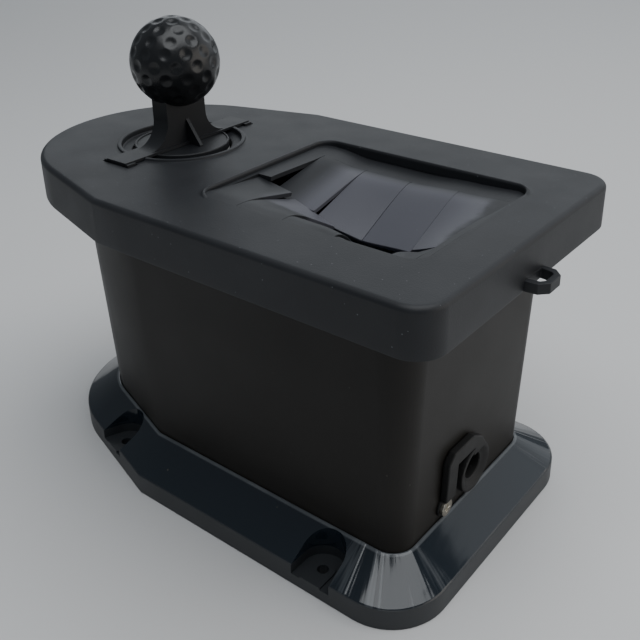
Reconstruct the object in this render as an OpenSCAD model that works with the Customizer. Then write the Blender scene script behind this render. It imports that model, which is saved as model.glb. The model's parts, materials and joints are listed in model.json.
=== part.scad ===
// Golf club and ball washer for a cart: a water tank on a bolt-down base, under a
// lift-off cover with slit rubber flaps for clubs and a knobbed lifter for balls.
// Millimetres, +Z up, +X towards the club end. The origin is on the ground, at the
// middle of the whole washer's length and width.

/* [Cover] */
// Height of the cover's top face above the ground
cover_top = 155.1; // [152:0.1:165]
// Flat end of the cover, at the club side
cover_end_x = 126.3; // [120:0.1:130]
// Half of the cover's width
cover_half_w = 76.5; // [72:0.5:80]
// Corner radius at the club end
cover_corner_r = 13; // [8:0.5:20]
// Where the straight sides start to turn in
cover_kink_x = -40.5; // [-50:0.5:-30]
// Centre of the round nose
cover_nose_x = -69.2; // [-75:0.1:-65]
// Radius of the round nose
cover_nose_r = 66.1; // [60:0.1:70]
// Depth of the skirt
skirt_h = 20.6; // [18:0.1:26]
// Thickness of the cover's plate and skirt
cover_wall = 3; // [2.5:0.1:3.5]
// Rounding along the top edge
cover_edge_r = 2.5; // [1:0.1:3]

/* [Base] */
// Flat end of the base
base_end_x = 121.5; // [118:0.5:126]
// Half of the base's width
base_half_w = 74.8; // [70:0.1:78]
// Corner radius at the club end
base_corner_r = 27.6; // [20:0.1:30]
// Where the straight sides start to turn in
base_kink_x = -36; // [-45:0.5:-30]
// Centre of the round nose
base_nose_x = -70.6; // [-75:0.1:-68]
// Radius of the round nose
base_nose_r = 61.2; // [58:0.1:64]
// Height of the upright rim
rim_h = 10.7; // [8:0.1:12]
// Height of the slope's inner edge, where the tank comes out
slope_top = 21.5; // [20:0.1:24]
// Thickness of the base's shell
base_wall = 3; // [2.5:0.1:3.5]
// Thickness of the base's floor
base_floor = 4; // [3.5:0.1:5]

/* [Mounting bolts] */
// Radius of the bolt holes
bolt_hole_r = 2.6; // [2:0.1:3]
// Front pair: distance along X
bolt_front_x = 71.6; // [65:0.1:75]
// Front pair: half of the spacing
bolt_front_y = 65.5; // [64:0.1:66]
// Rear pair: distance along X
bolt_rear_x = -65.8; // [-68:0.1:-62]
// Rear pair: half of the spacing
bolt_rear_y = 57.4; // [57:0.1:58]
// Radius of the scallop around a bolt
scallop_r = 10.2; // [9:0.1:10.4]
// Height of the scallop's floor
scallop_floor = 5.8; // [4:0.1:6]
// Radius and height of the raised collar round a bolt hole
collar_r = 5.4; // [5:0.1:6]
collar_h = 1; // [0.5:0.1:1.5]

/* [Tank] */
// Flat end of the tank, at the top of the base
tank_end_x = 103; // [100:0.5:105]
// Half of the tank's width, at the top of the base
tank_half_w = 54; // [50:0.5:55]
// Corner radius at the club end
tank_corner_r = 10.6; // [8:0.1:12]
// Where the straight sides start to turn in
tank_kink_x = -41.3; // [-45:0.1:-38]
// Centre of the round nose
tank_nose_x = -72.2; // [-74:0.1:-70]
// Radius of the round nose
tank_nose_r = 41.4; // [40:0.1:43]
// How much each side leans out over 100 mm of height
tank_draft = 4.05; // [2:0.05:4.5]
// Wall thickness
tank_wall = 3; // [2.5:0.1:3]
// Height of the water side of the floor
floor_z = 24; // [23:0.5:25]

/* [Club window] */
// Left, right, near and far edges of the opening
window_left = -8.3; // [-9:0.1:-8]
window_right = 103.3; // [102.5:0.1:103.5]
window_near = -46; // [-46.5:0.1:-45.5]
window_far = 41.8; // [41:0.1:43]
// Corner radius of the opening
window_r = 8; // [6:0.5:9]
// Width and height of the raised bead round the opening
bead_w = 1.7; // [1.2:0.1:2]
bead_h = 0.9; // [0.5:0.1:1.2]
// Depth of the rubber sheet below the cover's top face
sheet_depth = 4; // [3.8:0.1:4.2]
// Thickness of the rubber sheet
sheet_t = 2; // [1.6:0.1:2]

/* [Flaps] */
// Pitch of the slits between flaps
flap_pitch = 24.8; // [24:0.1:25]
// Right-hand slit
flap_right = 100.45; // [100:0.05:100.5]
// Left-hand slit beside the near flaps
near_left = -6.15; // [-6.5:0.05:-5.5]
// Root line and length of the near flaps
near_root = -42; // [-42.5:0.1:-41]
near_len = 31; // [28:0.5:31]
// Root line and length of the far flaps
far_root = 28.5; // [28:0.1:29]
far_len = 37.6; // [34:0.1:37.8]
// Width of the slits
slit = 0.3; // [0.3:0.05:0.6]

/* [Ball port and lifter] */
// Axis of the port
port_x = -66.2; // [-68:0.1:-64]
// Radius of the hole
port_r = 24.4; // [24.2:0.1:24.6]
// Inner and outer radius of the raised ring
ring_in = 29.3; // [29:0.1:30]
ring_out = 31.3; // [31:0.1:32]
// Height of the raised ring
ring_h = 1.2; // [0.8:0.1:1.5]
// Diameter of the knob, the size of a golf ball
knob_d = 42.7; // [42:0.1:43]
// Height of the knob's centre above the cover
knob_z = 39.8; // [38:0.1:42]
// Radius of the disc that closes the port
disc_r = 23.2; // [22.5:0.1:23.4]
// Width and thickness of the stem, and radius of its flare
stem_w = 25; // [22:0.5:27]
stem_t = 10; // [8:0.5:12]
flare_r = 12.5; // [10:0.5:12.5]
// Half length, width and top of the wings that rest on the cover
wing_half = 41.5; // [40:0.5:43]
wing_w = 13; // [12:0.5:14]
wing_top = 1.5; // [1.3:0.1:2.4]

/* [Brushes] */
// Half of the gap between the two club brushes
club_gap = 13; // [12:0.5:15]
// Half of the gap between the two ball brushes
ball_gap = 11; // [10.5:0.5:12]

/* [Drain] */
// Height of the drain hole
drain_z = 36.8; // [35:0.1:38]
// Radius of the drain hole
drain_r = 7; // [6:0.1:7.5]
// Outer radius of the stopper
stopper_r = 12.2; // [12:0.1:13]
// Thickness of the rubber outside the wall
plug_t = 3.6; // [3:0.1:4]
// Place of the tether's screw
tether_y = -21.5; // [-22:0.1:-21]
tether_z = 28; // [27.5:0.1:29]

/* [Hidden] */
$fn = 64;
eps = 0.01;

// Colours
abs_gloss = [0.05, 0.05, 0.07];
abs_satin = [0.10, 0.10, 0.10];
abs_cover = [0.15, 0.16, 0.17];
rubber = [0.18, 0.18, 0.19];
white_plastic = [0.78, 0.80, 0.80];
bristle_blue = [0.20, 0.35, 0.60];
steel = [0.72, 0.72, 0.70];

// An outline is [end_x, half_w, corner_r, kink_x, nose_x, nose_r]: a flat end with round
// corners, straight sides as far as the kink, then tapers that touch a round nose.
cover_plan = [cover_end_x, cover_half_w, cover_corner_r, cover_kink_x, cover_nose_x,
    cover_nose_r];
base_plan = [base_end_x, base_half_w, base_corner_r, base_kink_x, base_nose_x, base_nose_r];
tank_plan = [tank_end_x, tank_half_w, tank_corner_r, tank_kink_x, tank_nose_x, tank_nose_r];

function taper_angle(o) = atan2(o[1], o[3] - o[4]) + acos(o[5] / norm([o[3] - o[4], o[1]]));
function inset(o, w) = let (a = taper_angle(o)) [o[0] - w, o[1] - w, max(o[2] - w, 1),
    o[4] + (o[5] - w - (o[1] - w) * sin(a)) / cos(a), o[4], o[5] - w];
function tank_at(z) = inset(tank_plan, -tank_draft * (z - slope_top) / 100);

skirt_z = cover_top - skirt_h;
plate_z = cover_top - cover_wall;
sheet_z = cover_top - sheet_depth - sheet_t;
hinge_z = sheet_z + sheet_t / 2;
flange_top = plate_z - 0.3;
flange_t = 3;
foot_z = base_floor;
tank_fit = 0.25;
land = 0.5;
draft_angle = atan(tank_draft / 100);
flap_gap = sheet_t / 2 + slit;
clamp_t = 3;
clamp_z = sheet_z - clamp_t;
clamp_outer = [window_left - 6, window_right + 1.2, window_near - 6, window_far + 7.2];

// Screws
tank_screw_at = [[88, 36], [88, -36], [-80, 16], [-80, -16]];
rack_screw_at = [[-18, 34], [-18, -34], [72, 34], [72, -34]];
holder_screw_at = [[port_x, 21], [port_x, -21]];
clamp_screw_at = concat([for (x = [8, 48, 88], y = [window_near - 3.6, window_far + 3.6])
    [x, y]], [for (y = [-25, 15]) [window_left - 3.1, y]]);
cage_screw_at = [[port_x, 17], [port_x, -17]];

// Brush sizes
rack_x = [-30, 94];
rack_y = 49;
plate_t = 3;
rack_top = 104;
block_t = 5;
block_z = [36, 100];
holder_half = 16;
holder_y = 36.2;
holder_top = 120;
ball_block_z = [34, 112];

// Cage: the ball stands on the saddle, and the stop keeps it from floating up
cage_r = 23.9;
rail_in = 21.9;
saddle_z = 38;
saddle_t = 3.5;
stop_z = 83;

module plan(o) {
    a = taper_angle(o);
    touch = [o[4] + o[5] * cos(a), o[5] * sin(a)];
    translate([o[4], 0]) circle(o[5]);
    for (s = [-1, 1]) translate([o[0] - o[2], s * (o[1] - o[2])]) circle(o[2]);
    polygon([[o[0] - o[2], o[1]], [o[3], o[1]], touch, [touch[0], -touch[1]], [o[3], -o[1]],
        [o[0] - o[2], -o[1]], [o[0], o[2] - o[1]], [o[0], o[1] - o[2]]]);
}

module slab(o, z0, z1) {
    translate([0, 0, z0]) linear_extrude(z1 - z0) plan(o);
}

// Rectangle with round corners; e is [left, right, near, far]
module rect_plan(e, r) {
    translate([e[0] + r, e[2]]) square([e[1] - e[0] - 2 * r, e[3] - e[2]]);
    translate([e[0], e[2] + r]) square([e[1] - e[0], e[3] - e[2] - 2 * r]);
    for (x = [e[0] + r, e[1] - r], y = [e[2] + r, e[3] - r]) translate([x, y]) circle(r);
}

function grow(e, w) = [e[0] - w, e[1] + w, e[2] - w, e[3] + w];
window_edges = [window_left, window_right, window_near, window_far];

module block(x, y, z) {
    translate([x[0], y[0], z[0]]) cube([x[1] - x[0], y[1] - y[0], z[1] - z[0]]);
}

// Screw with its head's seat at the origin and its shank down -Z
module pan_screw(r, len, head_r, head_h) {
    translate([0, 0, -len]) cylinder(r = r, h = len + eps);
    difference() {
        cylinder(r = head_r, h = head_h);
        for (a = [0, 90]) rotate(a)
            translate([-head_r * 0.55, -0.45, head_h - 0.9]) cube([head_r * 1.1, 0.9, 1]);
    }
}

// Base ---------------------------------------------------------------------------------

// Angle of the scallop's mouth, square to the rim at each bolt
rear_turn = taper_angle(base_plan) - 90;
bolts = [[bolt_front_x, bolt_front_y, 0, 1], [bolt_front_x, -bolt_front_y, 0, -1],
    [bolt_rear_x, bolt_rear_y, rear_turn, 1], [bolt_rear_x, -bolt_rear_y, -rear_turn, -1]];

module at_bolts() {
    for (b = bolts) translate([b[0], b[1], 0]) rotate(b[2]) scale_y(b[3]) children();
}

module scale_y(s) {
    if (s < 0) mirror([0, 1, 0]) children();
    else children();
}

// Upright slot with a round back, open towards +Y
module scallop(r, z0, z1) {
    translate([0, 0, z0]) cylinder(r = r, h = z1 - z0);
    block([-r, r], [0, 30], [z0, z1]);
}

module base_form(w, top) {
    hull() {
        slab(inset(base_plan, w), 0, rim_h - w / 2);
        slab(inset(tank_at(slope_top), w / 2 - tank_fit - land), top - eps, top);
    }
}

module mounting_base() {
    color(abs_gloss) difference() {
        base_form(0, slope_top);
        // Hollow underside, less the tank's socket and the walls of the bolt scallops
        difference() {
            translate([0, 0, -eps]) base_form(base_wall, slope_top - base_wall);
            slab(inset(tank_at(slope_top), -base_wall), -1, slope_top);
            at_bolts() scallop(scallop_r + base_wall, -1, slope_top);
        }
        slab(inset(tank_at(slope_top), -tank_fit), base_floor, slope_top + 1);
        difference() {
            at_bolts() scallop(scallop_r, scallop_floor, slope_top + 1);
            at_bolts() scallop(collar_r, 0, scallop_floor + collar_h);
        }
        at_bolts() translate([0, 0, -1]) cylinder(r = bolt_hole_r, h = slope_top);
        for (p = tank_screw_at) translate([p[0], p[1], -eps]) {
            cylinder(r1 = 3.6, r2 = 1.8, h = 2);
            cylinder(r = 1.8, h = base_floor + 1);
        }
    }
}

module tank_screws() {
    color(steel) for (p = tank_screw_at) translate([p[0], p[1], 0]) {
        translate([0, 0, 0.2]) cylinder(r1 = 3.3, r2 = 1.5, h = 1.8);
        translate([0, 0, 1]) cylinder(r = 1.5, h = 14);
    }
}

// Tank ---------------------------------------------------------------------------------

module foot_posts(at, z0, r) {
    for (p = at) translate([p[0], p[1], z0]) cylinder(r = r, h = floor_z - tank_wall - z0);
}

module tank() {
    color(abs_satin) difference() {
        union() {
            difference() {
                hull() {
                    slab(tank_at(foot_z), foot_z, foot_z + eps);
                    slab(tank_at(flange_top), flange_top - eps, flange_top);
                }
                hull() {
                    slab(inset(tank_at(floor_z), tank_wall), floor_z, floor_z + eps);
                    slab(inset(tank_at(flange_top), tank_wall), flange_top, flange_top + 1);
                }
                slab(inset(tank_at(foot_z), tank_wall), foot_z - 1, floor_z - tank_wall);
            }
            // Ribs and screw posts under the floor
            intersection() {
                slab(inset(tank_at(foot_z), tank_wall - 0.2), foot_z, floor_z - tank_wall + 0.2);
                union() {
                    for (x = [-100:25:100]) block([x - 1, x + 1], [-60, 60], [foot_z, floor_z]);
                    for (y = [-25, 0, 25]) block([-120, 110], [y - 1, y + 1], [foot_z, floor_z]);
                    foot_posts(tank_screw_at, foot_z, 5);
                    foot_posts(rack_screw_at, foot_z + 6, 4.5);
                    foot_posts(holder_screw_at, foot_z + 6, 4.5);
                }
            }
            // Flange under the cover, with its edge turned down
            difference() {
                slab(inset(cover_plan, cover_wall + 0.6), skirt_z + 8, flange_top);
                slab(inset(cover_plan, cover_wall + 2.6), skirt_z + 7, flange_top - flange_t);
                slab(inset(tank_at(flange_top), 1), skirt_z, flange_top + 1);
            }
            // Boss round the drain hole, inside the end wall
            intersection() {
                slab(inset(tank_at(floor_z), 1), floor_z, drain_z + 12);
                translate([tank_end_x - 8, 0, drain_z]) rotate([0, 90, 0])
                    cylinder(r = drain_r + 3, h = 10);
            }
        }
        drain_frame(0) translate([0, 0, -20]) cylinder(r = drain_r, h = 30);
        drain_frame(0) translate([tether_z_up(), tether_y, -5.4]) cylinder(r = 1.6, h = 6);
        for (p = tank_screw_at) translate([p[0], p[1], foot_z - 1]) cylinder(r = 1.55, h = 13);
        for (p = concat(rack_screw_at, holder_screw_at))
            translate([p[0], p[1], floor_z - 11]) cylinder(r = 1.55, h = 12);
    }
}

// Frame on the end wall at the drain: +Z points straight out of the wall, and -X points up
module drain_frame(out) {
    wall_x = tank_end_x + tank_draft * (drain_z - slope_top) / 100;
    translate([wall_x, 0, drain_z]) rotate([0, 90 + draft_angle, 0])
        translate([0, 0, out]) children();
}

function tether_z_up() = (drain_z - tether_z) / cos(draft_angle);

// Drain --------------------------------------------------------------------------------

// Outline of the finger tab and its tether as seen from outside: x is down, y is across
tab_left = -24.5;
tab_top = -20.4;
strip_w = 8;
split_x = -11.5;
drain_gap = 0.2;
washer_t = 1;

module tab_plan() {
    inner = tab_left + strip_w;
    foot = -stopper_r - 0.1;
    polygon([[split_x, tab_left], [tab_top + 4, tab_left], [tab_top, tab_left + 4],
        [tab_top, -4.5], [-15.8, 3.1], [-8.6, 8.3], [-8, -3], [foot, -3], [foot, inner],
        [split_x, inner]]);
}

module drain_plug() {
    color(rubber) drain_frame(drain_gap) difference() {
        union() {
            cylinder(r = stopper_r, h = plug_t);
            linear_extrude(plug_t) difference() {
                tab_plan();
                circle(stopper_r - 1);
            }
            translate([0, 0, -9]) cylinder(r = drain_r - 0.06, h = 10);
        }
        translate([0, 0, -6]) cylinder(r = stopper_r - 6, h = plug_t + 10);
    }
}

module plug_tether() {
    up = tether_z_up();
    color(rubber) drain_frame(drain_gap) difference() {
        union() {
            translate([split_x + slit, tab_left, 0])
                cube([up - split_x - slit, strip_w, plug_t]);
            translate([up, tether_y, 0]) cylinder(r = 4.8, h = washer_t);
        }
        translate([up, tether_y, -1]) cylinder(r = 2.1, h = plug_t + 2);
        translate([up, tether_y, washer_t]) cylinder(r = 4.4, h = plug_t);
    }
}

module tether_screw() {
    color(steel) drain_frame(drain_gap) translate([tether_z_up(), tether_y, washer_t])
        pan_screw(1.55, 6.4, 4, 1.6);
}

// Club brushes -------------------------------------------------------------------------

module club_brush_rack() {
    color(white_plastic) difference() {
        union() {
            block(rack_x, [-rack_y, rack_y], [floor_z, floor_z + plate_t]);
            for (s = [-1, 1]) scale_y(s) {
                block(rack_x, [rack_y - plate_t, rack_y], [floor_z, rack_top]);
                // Channels that hold the ends of a brush back
                for (x = [rack_x[0], rack_x[1] - plate_t])
                    block([x, x + plate_t], [rack_y - 11, rack_y], [floor_z, rack_top]);
                for (x = [rack_x[0], rack_x[1] - 6])
                    block([x, x + 6], [rack_y - 11, rack_y - 8.4], [floor_z, rack_top]);
                // Ledge under the brush back
                block(rack_x, [rack_y - 8.3, rack_y], [floor_z, block_z[0] - 0.1]);
            }
        }
        for (p = rack_screw_at) translate([p[0], p[1], floor_z - 1]) cylinder(r = 1.8, h = 20);
    }
}

module rack_screws() {
    color(steel) for (p = rack_screw_at) translate([p[0], p[1], floor_z + plate_t])
        pan_screw(1.5, 12, 3.2, 2);
}

module club_brush_back(s) {
    color(white_plastic) scale_y(s)
        block([rack_x[0] + plate_t + 0.2, rack_x[1] - plate_t - 0.2],
            [rack_y - plate_t - block_t - 0.2, rack_y - plate_t - 0.2], block_z);
}

module club_bristles(s) {
    color(bristle_blue) scale_y(s)
        block([rack_x[0] + 8, rack_x[1] - 8], [club_gap, rack_y - plate_t - block_t - 0.2],
            [block_z[0] + 3, block_z[1] - 3]);
}

module floor_brush_back() {
    color(white_plastic) block([-20, 84], [-14, 14], [floor_z + plate_t, floor_z + plate_t + 5]);
}

module floor_bristles() {
    color(bristle_blue) block([-18, 82], [-11.5, 11.5], [floor_z + plate_t + 5, floor_z + 24]);
}

// Ball brushes -------------------------------------------------------------------------

module ball_brush_holder() {
    x = [port_x - holder_half, port_x + holder_half];
    color(white_plastic) difference() {
        union() {
            block(x, [-holder_y, holder_y], [floor_z, floor_z + plate_t]);
            for (s = [-1, 1]) scale_y(s) {
                block(x, [holder_y - 2.4, holder_y], [floor_z, holder_top]);
                for (side = [0, 1]) translate([side ? x[1] - 2 : x[0], 0, 0]) {
                    block([0, 2], [holder_y - 8.6, holder_y], [floor_z, holder_top]);
                    block([side ? -2 : 0, side ? 2 : 4], [holder_y - 8.6, holder_y - 6.6],
                        [floor_z, holder_top]);
                }
                block(x, [holder_y - 6.5, holder_y], [floor_z, ball_block_z[0] - 0.1]);
            }
        }
        for (p = holder_screw_at) translate([p[0], p[1], floor_z - 1])
            cylinder(r = 1.8, h = 10);
    }
}

module holder_screws() {
    color(steel) for (p = holder_screw_at) translate([p[0], p[1], floor_z + plate_t])
        pan_screw(1.5, 12, 3.2, 2);
}

module ball_brush_back(s) {
    color(white_plastic) scale_y(s)
        block([port_x - holder_half + 2.2, port_x + holder_half - 2.2],
            [holder_y - 6.4, holder_y - 2.6], ball_block_z);
}

module ball_bristles(s) {
    color(bristle_blue) scale_y(s)
        block([port_x - 11.5, port_x + 11.5], [ball_gap, holder_y - 6.4],
            [ball_block_z[0] + 3, ball_block_z[1] - 3]);
}

// Cover --------------------------------------------------------------------------------

loop_tip = 135.3;
loop_z = [skirt_z + 0.2, skirt_z + 4.8];

module towel_loop() {
    translate([0, 0, loop_z[0]]) linear_extrude(loop_z[1] - loop_z[0]) difference() {
        polygon([[cover_end_x - 2, -8.4], [loop_tip - 3.6, -8], [loop_tip, -4.4],
            [loop_tip, 4.4], [loop_tip - 3.6, 8], [cover_end_x - 2, 8.4]]);
        polygon([[cover_end_x - 0.2, -5.6], [loop_tip - 4.2, -5], [loop_tip - 2.8, -3.4],
            [loop_tip - 2.8, 3.4], [loop_tip - 4.2, 5], [cover_end_x - 0.2, 5.6]]);
    }
}

module port_ring() {
    translate([port_x, 0, cover_top]) rotate_extrude()
        polygon([[port_r, -14], [port_r + 2.6, -14], [port_r + 2.6, -cover_wall - 0.5],
            [ring_out, -cover_wall - 0.5], [ring_out, ring_h - 0.5],
            [ring_out - 0.4, ring_h], [ring_in + 0.4, ring_h], [ring_in, ring_h - 0.4],
            [ring_in - 0.4, -1.5], [port_r, -2]]);
}

module top_cover() {
    color(abs_cover) difference() {
        union() {
            difference() {
                hull() {
                    slab(cover_plan, skirt_z, cover_top - cover_edge_r);
                    slab(inset(cover_plan, cover_edge_r * 0.3), cover_top - cover_edge_r * 0.3
                        - eps, cover_top - cover_edge_r * 0.3);
                    slab(inset(cover_plan, cover_edge_r), cover_top - eps, cover_top);
                }
                slab(inset(cover_plan, cover_wall), skirt_z - 1, plate_z);
                translate([port_x, 0, plate_z - 1]) cylinder(r = ring_in, h = cover_wall + 2);
            }
            port_ring();
            towel_loop();
            // Bead round the window, and the pad that the rubber sheet is clamped to
            translate([0, 0, cover_top - 1]) linear_extrude(1 + bead_h)
                rect_plan(grow(window_edges, bead_w), window_r + bead_w);
            translate([0, 0, sheet_z + sheet_t]) linear_extrude(cover_wall)
                rect_plan(clamp_outer, window_r);
            // Tabs that drop inside the tank's mouth
            for (s = [-1, 1], x = [-34, 56]) scale_y(s)
                block([x, x + 20], [cover_half_w - 22.8, cover_half_w - 20.8],
                    [plate_z - 7, plate_z + 1]);
            // Stiffening ribs between the port and the window
            for (y = [-24, 0, 24])
                block([port_x + 26, window_left - 7], [y - 1, y + 1], [plate_z - 5, plate_z + 1]);
        }
        translate([0, 0, sheet_z]) linear_extrude(20) rect_plan(window_edges, window_r);
        // Slots and shallow seats for the lifter's wings
        block([port_x - wing_w / 2 - 0.5, port_x + wing_w / 2 + 0.5],
            [-wing_half, wing_half], [cover_top - 0.3, cover_top + 5]);
        for (s = [-1, 1]) scale_y(s)
            block([port_x - 9, port_x + 9], [wing_half - 5.3, wing_half + 0.8],
                [cover_top - 0.9, cover_top + 5]);
        for (p = clamp_screw_at) translate([p[0], p[1], sheet_z]) cylinder(r = 1.25, h = 4.6);
    }
}

module guard_plan() {
    near_mid = (near_root + near_len + far_root - far_len) / 2;
    difference() {
        rect_plan(clamp_outer, window_r);
        translate([near_left, near_root - flap_gap])
            square([flap_right - near_left, near_mid - near_root + flap_gap]);
        translate([far_left(1) - slit, near_mid - eps])
            square([flap_right - far_left(1) + slit, far_root + flap_gap - near_mid + eps]);
        for (p = clamp_screw_at) translate(p) circle(1.45);
    }
}

module splash_guard() {
    color(rubber) translate([0, 0, sheet_z]) linear_extrude(sheet_t) guard_plan();
}

module guard_clamp() {
    color(abs_satin) translate([0, 0, clamp_z]) linear_extrude(clamp_t) difference() {
        rect_plan(clamp_outer, window_r);
        rect_plan([window_left, window_right - 1.1, near_root - 1.7, far_root + 2.5], 4);
        for (p = clamp_screw_at) translate(p) circle(1.45);
    }
}

module clamp_screws() {
    color(steel) for (p = clamp_screw_at) translate([p[0], p[1], clamp_z])
        rotate([180, 0, 0]) pan_screw(1.2, clamp_t + sheet_t + 2.4, 2.6, 1.8);
}

// Flaps --------------------------------------------------------------------------------

// Each flap hangs by its own angle; flap 1 is the one nearest the ball port
near_droop = [3, 11, 18, 18, 10];
far_droop = [8, 15, 19, 14];

function far_left(n) = flap_right - (5 - n) * flap_pitch;
function near_slit(n) = n == 0 ? near_left
    : n == 5 ? flap_right : flap_right - (4.5 - n) * flap_pitch;

// Flap with a round root on the hinge line, reaching towards +Y
module flap(x0, x1, len, droop) {
    rotate([-droop, 0, 0]) {
        translate([x0 + slit, 0, 0]) rotate([0, 90, 0])
            cylinder(r = sheet_t / 2, h = x1 - x0 - 2 * slit, $fn = 24);
        translate([x0 + slit, 0, -sheet_t / 2]) cube([x1 - x0 - 2 * slit, len, sheet_t]);
    }
}

module near_flap(n) {
    color(rubber) translate([0, near_root, hinge_z])
        flap(near_slit(n - 1), near_slit(n), near_len, near_droop[n - 1]);
}

module far_flap(n) {
    color(rubber) translate([0, far_root, hinge_z]) mirror([0, 1, 0])
        flap(far_left(n), far_left(n + 1), far_len, far_droop[n - 1]);
}

// Ball lifter --------------------------------------------------------------------------

dimple_r = 2.5;
dimple_depth = 0.55;
// Latitude, number of dimples and first turn of each ring round the knob
dimple_rings = [[70, 6, 20], [53, 9, 9.7], [36, 11, 19.3], [20, 13, 0.6], [4, 13, 14],
    [-12, 13, 0], [-28, 12, 12], [-43, 9, 0]];

module ball_knob() {
    cut_r = (dimple_r * dimple_r + dimple_depth * dimple_depth) / (2 * dimple_depth);
    ball_r = knob_d / 2;
    color(abs_satin) translate([port_x, 0, cover_top + knob_z]) difference() {
        sphere(r = ball_r);
        for (ring = dimple_rings, i = [0:ring[1] - 1])
            rotate([0, -ring[0], ring[2] + i * 360 / ring[1]])
                translate([ball_r + cut_r - dimple_depth, 0, 0]) sphere(r = cut_r, $fn = 24);
        translate([0, 0, ball_r + cut_r - dimple_depth]) sphere(r = cut_r, $fn = 24);
        translate([-stem_t / 2 - 0.1, -stem_w / 2 - 0.1, -ball_r - 1])
            cube([stem_t + 0.2, stem_w + 0.2, 13]);
        translate([0, 0, -ball_r]) cylinder(r = 1.7, h = 25);
    }
}

module lifter_handle() {
    stem_top = knob_z - knob_d / 2 + 11.9;
    color(abs_satin) translate([port_x, 0, cover_top]) difference() {
        union() {
            translate([0, 0, -3]) cylinder(r = disc_r, h = 3);
            // Stem, with concave flares that run out into the wings
            block([-stem_t / 2, stem_t / 2], [-stem_w / 2, stem_w / 2], [-1, stem_top]);
            difference() {
                block([-stem_t / 2, stem_t / 2], [-stem_w / 2 - flare_r, stem_w / 2 + flare_r],
                    [-eps, wing_top + flare_r]);
                for (s = [-1, 1]) translate([-stem_t, s * (stem_w / 2 + flare_r),
                    wing_top + flare_r]) rotate([0, 90, 0]) cylinder(r = flare_r, h = 2 * stem_t);
            }
            // Gussets on the stem's broad faces
            for (turn = [0, 180]) rotate(turn) translate([0, 0.9, 0]) rotate([90, 0, 0])
                linear_extrude(1.8) polygon([[0, -1], [13.7, -1], [13.7, 0.6],
                    [stem_t / 2, 12.6], [0, 12.6]]);
            block([-wing_w / 2, wing_w / 2], [-wing_half, wing_half], [0.2, wing_top]);
            for (s = [-1, 1]) scale_y(s) wing_tip();
        }
        for (s = [-1, 1]) translate([0, s * 17, -4]) cylinder(r = 1.3, h = 6);
        translate([0, 0, -4]) cylinder(r = 1.9, h = 60);
        translate([0, 0, -4]) cylinder(r = 3.8, h = 4.5);
    }
}

// Notched bar across the end of a wing, lying in its seat in the cover
module wing_tip() {
    difference() {
        block([-8.3, 8.3], [wing_half - 4.6, wing_half + 0.1], [-0.6, 1]);
        for (x = [-5.4, 5.4]) block([x - 1, x + 1], [wing_half - 1.4, wing_half + 1], [-1, 3]);
    }
}

module knob_screw() {
    color(steel) translate([port_x, 0, cover_top + 0.4]) rotate([180, 0, 0])
        pan_screw(1.6, knob_z, 3.4, 2.4);
}

module cage_bar(z0, z1, half_y, hole_r) {
    intersection() {
        difference() {
            translate([0, 0, z0]) cylinder(r = cage_r, h = z1 - z0);
            translate([0, 0, z0 - 1]) cylinder(r = hole_r, h = z1 - z0 + 2);
        }
        block([-30, 30], [-half_y, half_y], [z0, z1]);
    }
}

module ball_cage() {
    disc_under = cover_top - 3;
    color(white_plastic) translate([port_x, 0, 0]) difference() {
        union() {
            translate([0, 0, disc_under - 3]) cylinder(r = disc_r, h = 3);
            intersection() {
                translate([0, 0, saddle_z - saddle_t])
                    cylinder(r = cage_r, h = disc_under - saddle_z + saddle_t);
                for (s = [0, 180]) rotate(s)
                    block([rail_in, 30], [-7, 7], [saddle_z - saddle_t, disc_under]);
            }
            cage_bar(saddle_z - saddle_t, saddle_z, 9.5, 7);
            cage_bar(stop_z, stop_z + 3, 9.5, 9);
        }
        for (p = cage_screw_at) translate([0, p[1], disc_under - 4]) cylinder(r = 1.7, h = 8);
        translate([0, 0, disc_under - 4]) cylinder(r = 4.2, h = 8);
    }
}

module cage_screws() {
    color(steel) for (p = cage_screw_at) translate([p[0], p[1], cover_top - 6])
        rotate([180, 0, 0]) pan_screw(1.25, 7, 2.8, 1.8);
}

mounting_base();
tank();
tank_screws();
club_brush_rack();
rack_screws();
club_brush_back(-1);  // near_club_brush_back
club_bristles(-1);  // near_club_bristles
club_brush_back(1);  // far_club_brush_back
club_bristles(1);  // far_club_bristles
floor_brush_back();
floor_bristles();
ball_brush_holder();
holder_screws();
ball_brush_back(-1);  // near_ball_brush_back
ball_bristles(-1);  // near_ball_bristles
ball_brush_back(1);  // far_ball_brush_back
ball_bristles(1);  // far_ball_bristles
drain_plug();
plug_tether();
tether_screw();
top_cover();
splash_guard();
guard_clamp();
clamp_screws();
near_flap(1);  // near_flap_1
near_flap(2);  // near_flap_2
near_flap(3);  // near_flap_3
near_flap(4);  // near_flap_4
near_flap(5);  // near_flap_5
far_flap(1);  // far_flap_1
far_flap(2);  // far_flap_2
far_flap(3);  // far_flap_3
far_flap(4);  // far_flap_4
ball_knob();
lifter_handle();
knob_screw();
ball_cage();
cage_screws();
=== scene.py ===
"""The finished look of a cart-mounted golf club and ball washer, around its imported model.

Every length is in metres in the model's own frame; MM turns the drawing's millimetres to them.
"""

import json
import math
import random

import bmesh
import bpy
from mathutils import Matrix, Vector

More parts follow.
